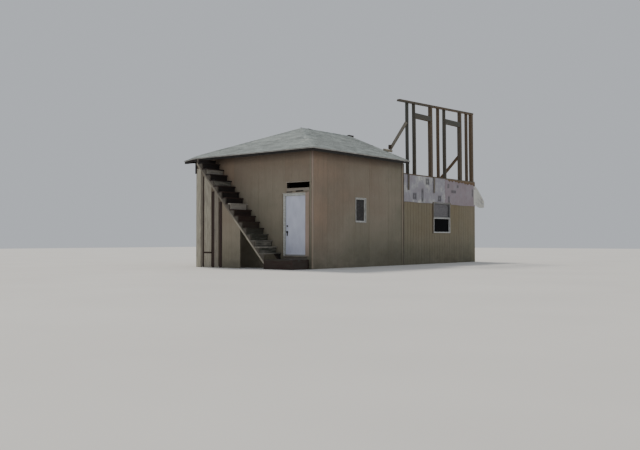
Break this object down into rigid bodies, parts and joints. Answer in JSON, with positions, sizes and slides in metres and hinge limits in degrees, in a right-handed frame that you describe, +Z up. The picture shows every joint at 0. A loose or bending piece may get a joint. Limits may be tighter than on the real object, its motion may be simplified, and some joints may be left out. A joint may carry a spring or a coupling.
{
  "type": "farm building with outside stair and framed annex",
  "caption": "Hip-roofed farm building with an outside wooden stair, a hinged entrance door, and an annex with wrapped walls and a bare stud-framed upper storey.",
  "frame": {"origin": "on the ground under the middle of the cross wall between the two halves", "axes": "+X to the right of the entrance front, +Y from the entrance front towards the annex, +Z up"},
  "size_m": [6.2306, 12.6222, 6.5696],
  "materials": {
    "siding": "faded beige paint on panel siding",
    "annex_siding": "faded beige paint on grooved plywood siding",
    "floor_wood": "bare plywood decking",
    "shingle": "grey-green asphalt shingle with mineral grit",
    "trim_paint": "pale weathered paint",
    "lumber": "bare construction lumber",
    "weathered_wood": "grey weathered boards",
    "dark_wood": "very dark weathered boards",
    "house_wrap": "spun-bonded house wrap, wrinkled",
    "door_paint": "white painted steel door",
    "frame_paint": "white paint",
    "window_glass": "dark window glass",
    "lock_metal": "dulled lock metal"
  },
  "bodies": {
    "building": {"front_wall_left": "siding", "front_wall_right": "siding", "front_wall_over_door": "siding", "right_wall_main": "siding", "left_wall_main": "siding", "cross_wall": "siding", "skirt_panel": "siding", "right_wall_annex": "annex_siding", "left_wall_annex": "annex_siding", "back_wall_annex": "annex_siding", "main_floor": "floor_wood", "annex_floor": "floor_wood", "upper_deck": "floor_wood", "roof_front": "shingle", "roof_right": "shingle", "roof_left": "shingle", "fascia": "trim_paint", "rafters_right": "lumber", "rafters_left": "lumber", "rafters_front": "lumber", "bottom_plate": "lumber", "top_plate": "lumber", "stud_1": "lumber", "stud_2": "lumber", "stud_3": "lumber", "stud_4": "lumber", "stud_5": "lumber", "stud_6": "lumber", "stud_7": "lumber", "stud_8": "lumber", "header_1": "lumber", "header_2": "lumber", "brace_to_roof": "lumber", "brace_to_deck": "lumber", "brace_cleat": "lumber", "outer_stringer": "weathered_wood", "skirt_board_1": "weathered_wood", "skirt_board_2": "weathered_wood", "skirt_board_3": "weathered_wood", "skirt_board_4": "weathered_wood", "scab_board_1": "weathered_wood", "scab_board_2": "weathered_wood", "door_sill": "weathered_wood", "stair_flight": "dark_wood", "inner_stringer": "dark_wood", "stoop": "dark_wood", "wrap_band": "house_wrap", "wrap_flap": "house_wrap", "door_frame": "frame_paint", "window_narrow_frame": "frame_paint", "window_wide_frame": "frame_paint", "window_narrow_glass": "window_glass", "window_wide_glass_lower": "window_glass", "window_wide_glass_upper": "window_glass"},
    "door": {"door_leaf": "door_paint", "door_knob": "lock_metal"}
  },
  "joints": [
    {"name": "door_swing", "type": "hinge", "parent": "building", "child": "door", "pos_m": [2.4957, -5.3774, 0.445], "axis": [0, 0, -1], "range_deg": [0, 90]}
  ]
}
